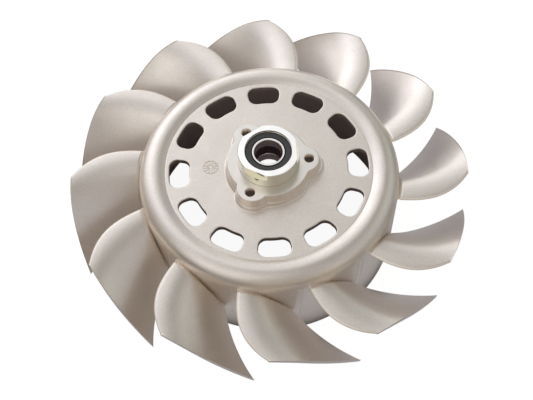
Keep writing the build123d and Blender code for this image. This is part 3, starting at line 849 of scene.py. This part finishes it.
def seal_rubber(finishes):
    """Nitrile rubber, moulded on the seals: near black and dull, dusted grey in a band around the
    middle. Inside and outside that band it is painted darker and hardly shines: painted shade in
    the gap at the seal's inner edge and under the carrier's lip at its outer edge."""
    middle, half_width = 12.0 * MM, 1.6 * MM
    material, tree, place = new_material("nitrile_rubber_moulded")
    dust = add_node(tree, "ShaderNodeTexNoise", inputs={
        "Vector": place, "Scale": 1 / (1.2 * MM), "Detail": 4.0})
    tone = add_node(tree, "ShaderNodeMix", {"data_type": "RGBA"}, {
        "Factor": dust.outputs["Fac"], 6: finishes.rubber, 7: finishes.rubber_dust})
    flat = add_node(tree, "ShaderNodeVectorMath", {"operation": "MULTIPLY"}, {
        0: place, 1: (1.0, 1.0, 0.0)})
    away = add_node(tree, "ShaderNodeVectorMath", {"operation": "LENGTH"}, {
        0: flat.outputs["Vector"]})
    # Outside this band the rubber is painted near-black and hardly shines: painted shade at the
    # seal's inner and outer edges.
    between = add_node(tree, "ShaderNodeMath", {"operation": "COMPARE"}, {
        0: away.outputs["Value"], 1: middle, 2: half_width})
    tone = add_node(tree, "ShaderNodeMix", {"data_type": "RGBA"}, {
        "Factor": between.outputs[0], 6: finishes.seal_rim_painted_shade, 7: tone.outputs[2]})
    gloss = add_node(tree, "ShaderNodeMapRange", inputs={
        "Value": between.outputs[0], "To Min": 0.05, "To Max": 0.5})
    bump = add_node(tree, "ShaderNodeBump", inputs={
        "Height": dust.outputs["Fac"], "Strength": 0.4, "Distance": 0.02 * MM})
    shader = add_node(tree, "ShaderNodeBsdfPrincipled", inputs={
        "Base Color": tone.outputs[2], "Roughness": 0.55, "IOR": 1.52,
        "Specular IOR Level": gloss.outputs["Result"], "Normal": bump.outputs["Normal"]})
    add_node(tree, "ShaderNodeOutputMaterial", inputs={"Surface": shader.outputs["BSDF"]})
    return material


def cage_nylon(finishes):
    """Glass-filled nylon, moulded: warm off-white, slightly waxy, with a faint mottling."""
    material, tree, place = new_material("glass_filled_nylon_moulded")
    mottle = add_node(tree, "ShaderNodeTexNoise", inputs={
        "Vector": place, "Scale": 1 / (0.8 * MM), "Detail": 4.0})
    tone = add_node(tree, "ShaderNodeMix", {"data_type": "RGBA"}, {
        "Factor": mottle.outputs["Fac"], 6: finishes.nylon, 7: finishes.nylon_shade})
    shader = add_node(tree, "ShaderNodeBsdfPrincipled", inputs={
        "Base Color": tone.outputs[2], "Roughness": 0.42, "IOR": 1.53,
        "Subsurface Weight": 0.08})
    add_node(tree, "ShaderNodeOutputMaterial", inputs={"Surface": shader.outputs["BSDF"]})
    return material


def phosphated_spring_steel(finishes):
    """Spring steel, phosphated and oiled: dark grey with a fine crystalline speckle."""
    material, tree, place = new_material("spring_steel_phosphated")
    speckle = add_node(tree, "ShaderNodeTexNoise", inputs={
        "Vector": place, "Scale": 1 / (0.3 * MM), "Detail": 3.0})
    tone = add_node(tree, "ShaderNodeMix", {"data_type": "RGBA"}, {
        "Factor": speckle.outputs["Fac"], 6: finishes.spring, 7: finishes.spring_shade})
    shader = add_node(tree, "ShaderNodeBsdfPrincipled", inputs={
        "Base Color": tone.outputs[2], "Metallic": 0.8, "Roughness": 0.5})
    add_node(tree, "ShaderNodeOutputMaterial", inputs={"Surface": shader.outputs["BSDF"]})
    return material


def tempered_steel(finishes):
    """Steel tube, drawn and tempered: a brown and purple oxide that drifts around it, in streaks
    along the drawing."""
    material, tree, place = new_material("steel_tube_tempered")
    along = add_node(tree, "ShaderNodeMapping", inputs={"Vector": place, "Scale": (1, 1, 0.1)})
    streaks = add_node(tree, "ShaderNodeTexNoise", inputs={
        "Vector": along.outputs["Vector"], "Scale": 1 / (3 * MM), "Detail": 2.0})
    tone = add_node(tree, "ShaderNodeMix", {"data_type": "RGBA"}, {
        "Factor": streaks.outputs["Fac"], 6: finishes.sleeve, 7: finishes.sleeve_shade})
    shader = add_node(tree, "ShaderNodeBsdfPrincipled", inputs={
        "Base Color": tone.outputs[2], "Metallic": 1.0, "Roughness": 0.42})
    add_node(tree, "ShaderNodeOutputMaterial", inputs={"Surface": shader.outputs["BSDF"]})
    return material


def edge_highlight_aluminium(finishes):
    """Brighter aluminium on the top of each blade's nose and on the beads: a painted highlight
    along the leading edges, with fine scratches.
    """
    material, tree, place = new_material("aluminium_painted_edge_highlight")
    scratches = add_node(tree, "ShaderNodeTexNoise", inputs={
        "Vector": place, "Scale": 1 / (1.5 * MM), "Detail": 4.0})
    rough = add_node(tree, "ShaderNodeMapRange", inputs={
        "Value": scratches.outputs["Fac"], "To Min": 0.45, "To Max": 0.6})
    shader = add_node(tree, "ShaderNodeBsdfPrincipled", inputs={
        "Base Color": finishes.edge_highlight_tone, "Metallic": 0.6, "Roughness": rough.outputs["Result"]})
    add_node(tree, "ShaderNodeOutputMaterial", inputs={"Surface": shader.outputs["BSDF"]})
    return material


def give_material(node_names, material):
    """Put one material on whole CAD nodes."""
    for name in node_names:
        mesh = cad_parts[name].data
        mesh.materials.clear()
        mesh.materials.append(material)


class FAN_OT_casting(bpy.types.Operator):
    """Builds the casting: its body, its blades and its marks"""

    bl_idname = "fan.casting"
    bl_label = "Casting"

    def execute(self, context):
        scene = context.scene
        drum, hub, blades = scene.fan_drum, scene.fan_hub, scene.fan_blades
        cast, machined, edge_highlight = (finish(scene.fan_finishes) for finish in (
            cast_aluminium, turned_aluminium, edge_highlight_aluminium))
        # The second material of the blades and of the marks is a painted highlight.
        pieces = (casting_body(drum, hub).make("casting_body", [cast, machined], sharp=50),
                  casting_blades(drum, blades).make("casting_blades", [cast, edge_highlight], sharp=60),
                  casting_marks(drum, blades).make("casting_marks", [cast, edge_highlight]))
        for piece in pieces:
            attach(piece, "impeller")
            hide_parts("impeller_casting")
        return {"FINISHED"}


class FAN_OT_bearings(bpy.types.Operator):
    """Gives the carrier, the bearings and what lies between them their finishes"""

    bl_idname = "fan.bearings"
    bl_label = "Carrier and bearings"

    def execute(self, context):
        finishes = context.scene.fan_finishes
        rows = ("front", "rear")
        give_material(["bearing_carrier"], zinc_plated_steel(finishes))
        rings = [row + part for row in rows for part in ("_outer_race", "_inner_race")]
        give_material(rings + ["outer_spacer"], ground_steel(finishes))
        give_material(["inner_spacer"], tempered_steel(finishes))
        give_material([row + "_balls" for row in rows], polished_ball_steel(finishes))
        seals = [row + part for row in rows for part in ("_upper_seal", "_lower_seal")]
        give_material(seals, seal_rubber(finishes))
        give_material([row + "_cage" for row in rows], cage_nylon(finishes))
        give_material(["circlip"], phosphated_spring_steel(finishes))
        return {"FINISHED"}


class FAN_OT_stage(bpy.types.Operator):
    """Adds the floor, the soft light and the camera"""

    bl_idname = "fan.stage"
    bl_label = "Stage"

    # Each softbox's azimuth and elevation in degrees, with 90 behind the fan and 180 at its left,
    # how tightly its glow falls off, its strength and its colour
    softboxes = ((0.0, 12.0, 11.0, 0.42, "#f2f8ff"), (45.0, 12.0, 11.0, 0.38, "#f8fffa"),
                 (90.0, 12.0, 11.0, 1.11, "#f9fcff"), (135.0, 12.0, 11.0, 1.03, "#faf8ff"),
                 (180.0, 12.0, 11.0, 0.29, "#fff4d3"), (315.0, 12.0, 11.0, 0.49, "#fff6dc"),
                 (20.0, 42.0, 11.0, 0.50, "#fefffb"), (120.0, 42.0, 11.0, 1.50, "#f0f4ff"),
                 (220.0, 42.0, 11.0, 0.98, "#fafbff"), (265.0, 12.0, 11.0, 0.42, "#fff2e0"),
                 (270.0, 42.0, 11.0, 0.14, "#fff2dc"), (320.0, 42.0, 11.0, 0.46, "#eaecff"),
                 (210.0, 72.0, 11.0, 0.66, "#fcfcff"), (330.0, 72.0, 11.0, 0.13, "#fff2dc"),
                 (88.0, 60.0, 60.0, 0.62, "#fffdf6"))

    def execute(self, context):
        scene, stage = context.scene, context.scene.fan_stage
        half = stage.floor_size / 2
        floor_mesh = bpy.data.meshes.new("floor")
        floor_mesh.from_pydata([(-half, -half, 0), (half, -half, 0), (half, half, 0),
                                (-half, half, 0)], [], [(0, 1, 2, 3)])
        floor_mesh.materials.append(self.floor_paper(stage))
        floor = bpy.data.objects.new("floor", floor_mesh)
        scene.collection.objects.link(floor)
        self.light(scene, stage)
        self.camera(scene)
        scene.view_settings.view_transform = "Standard"
        return {"FINISHED"}

    def floor_paper(self, stage):
        """Matt paper. The camera, also through glass, sees it nearly white, with the object's soft
        shadow. Reflections and bounced light see it with a painted glow added in rings of darker
        tones around the axis: painted shade near the axis, where the object shades it, and painted
        light further out, where the object throws light on it."""
        material, tree, place = new_material("floor_paper_matt")
        path = add_node(tree, "ShaderNodeLightPath")
        seen = add_node(tree, "ShaderNodeMath", {"operation": "MAXIMUM"}, {
            0: path.outputs["Is Camera Ray"], 1: path.outputs["Is Transmission Ray"]})
        plain = add_node(tree, "ShaderNodeBsdfDiffuse", inputs={"Color": stage.floor_colour})
        away = add_node(tree, "ShaderNodeVectorMath", {"operation": "LENGTH"}, {0: place})
        # Painted light and painted shade: a glow in rings, dark under the fan and paler further
        # out, which reflections and bounced light see.
        rings = ((0.04, stage.painted_floor_inside), (0.08, stage.painted_floor_shadow), (0.09, stage.painted_floor_near),
                 (0.16, stage.painted_floor_middle), (0.40, stage.painted_floor_far))
        reach = rings[-1][0]
        share = add_node(tree, "ShaderNodeMath", {"operation": "MULTIPLY"}, {
            0: away.outputs["Value"], 1: 1 / reach})
        ramp = add_node(tree, "ShaderNodeValToRGB", inputs={"Fac": share.outputs[0]})
        stops = ramp.color_ramp.elements
        for radius, _ in rings[1:-1]:
            stops.new(radius / reach)
        for stop, (radius, tone) in zip(stops, rings):
            stop.position, stop.color = radius / reach, tone
        painted_floor_tones = add_node(tree, "ShaderNodeEmission", inputs={"Color": ramp.outputs["Color"]})
        glow = add_node(tree, "ShaderNodeEmission", inputs={"Strength": stage.floor_glow})
        paper, lit = (add_node(tree, "ShaderNodeAddShader", inputs={
            0: plain.outputs[0], 1: light.outputs[0]}) for light in (painted_floor_tones, glow))
        both = add_node(tree, "ShaderNodeMixShader", inputs={
            0: seen.outputs[0], 1: paper.outputs[0], 2: lit.outputs[0]})
        add_node(tree, "ShaderNodeOutputMaterial", inputs={"Surface": both.outputs[0]})
        return material

    def light(self, scene, stage):
        """A dim room with softboxes around it as smooth round glows: the brightest are behind,
        the next are high at the front left, weaker ones stand at the right and in front, and a
        narrow one hangs high behind. A glow is a power of the cosine of the angle to its middle.
        The camera sees the room as a plain pale grey."""
        world = bpy.data.worlds.new("studio_room")
        scene.world = world
        world.use_nodes = True
        tree = world.node_tree
        tree.nodes.clear()
        way = add_node(tree, "ShaderNodeTexCoord").outputs["Generated"]
        light = add_node(tree, "ShaderNodeRGB")
        light.outputs[0].default_value = stage.room
        for azimuth, elevation, focus, strength, tone in self.softboxes:
            flat = np.cos(np.radians(elevation))
            towards = (flat * np.cos(np.radians(azimuth)), flat * np.sin(np.radians(azimuth)),
                       np.sin(np.radians(elevation)))
            near = add_node(tree, "ShaderNodeVectorMath", {"operation": "DOT_PRODUCT"}, {
                0: way, 1: towards})
            ahead = add_node(tree, "ShaderNodeMath", {"operation": "MAXIMUM"}, {
                0: near.outputs["Value"], 1: 0.0})
            glow = add_node(tree, "ShaderNodeMath", {"operation": "POWER"}, {
                0: ahead.outputs[0], 1: focus})
            power = strength * stage.softboxes
            tinted = add_node(tree, "ShaderNodeVectorMath", {"operation": "SCALE"}, {
                0: [power * part for part in linear(tone)[:3]], "Scale": glow.outputs[0]})
            light = add_node(tree, "ShaderNodeVectorMath", {"operation": "ADD"}, {
                0: light.outputs[0], 1: tinted.outputs[0]})
        path = add_node(tree, "ShaderNodeLightPath")
        seen = add_node(tree, "ShaderNodeMath", {"operation": "MAXIMUM"}, {
            0: path.outputs["Is Camera Ray"], 1: path.outputs["Is Transmission Ray"]})
        sky = add_node(tree, "ShaderNodeBackground", inputs={
            "Color": light.outputs[0], "Strength": stage.sky})
        pale = add_node(tree, "ShaderNodeBackground", inputs={"Strength": 1.0})
        both = add_node(tree, "ShaderNodeMixShader", inputs={
            0: seen.outputs[0], 1: sky.outputs[0], 2: pale.outputs[0]})
        add_node(tree, "ShaderNodeOutputWorld", inputs={"Surface": both.outputs[0]})

    def camera(self, scene):
        """The camera stands above and in front, and looks down at the web at about 60 degrees."""
        focal_length, film_width, nearest = 70.02, 36.0, 0.01
        place, turn = (-0.0106073, -0.3367973, 0.5998687), (30.37317, 1.19118, -3.45443)
        lens = bpy.data.cameras.new("camera")
        lens.lens, lens.sensor_width, lens.clip_start = focal_length, film_width, nearest
        camera = bpy.data.objects.new("camera", lens)
        scene.collection.objects.link(camera)
        camera.matrix_world = Matrix.LocRotScale(Vector(place), Euler(np.radians(turn)), None)
        scene.camera = camera


class FAN_PT_panel(bpy.types.Panel):
    """Lists the fan's pieces, sizes and finishes"""

    bl_idname = "FAN_PT_panel"
    bl_label = "Axial fan impeller"
    bl_space_type = "VIEW_3D"
    bl_region_type = "UI"
    bl_category = "Fan"

    def draw(self, context):
        layout = self.layout
        for operator in operators:
            layout.operator(operator.bl_idname)
        for name, group in groups.items():
            box = layout.box()
            for setting in group.__annotations__:
                box.prop(getattr(context.scene, name), setting)


groups = {"fan_drum": FanDrumSizes, "fan_blades": FanBladeSizes, "fan_hub": FanHubSizes,
          "fan_finishes": FanFinishes, "fan_stage": FanStageSettings}
operators = (FAN_OT_casting, FAN_OT_bearings, FAN_OT_stage)


def register():
    """Register the classes and hang each group of settings on the scene."""
    for name, group in groups.items():
        bpy.utils.register_class(group)
        setattr(bpy.types.Scene, name, PointerProperty(type=group))
    for operator in operators:
        bpy.utils.register_class(operator)
    bpy.utils.register_class(FAN_PT_panel)


def unregister():
    """Take back all that register does."""
    bpy.utils.unregister_class(FAN_PT_panel)
    for operator in reversed(operators):
        bpy.utils.unregister_class(operator)
    for name, group in reversed(groups.items()):
        delattr(bpy.types.Scene, name)
        bpy.utils.unregister_class(group)


def main():
    """Build every piece in order."""
    register()
    bpy.ops.fan.casting()
    bpy.ops.fan.bearings()
    bpy.ops.fan.stage()


if __name__ == "__main__":
    main()
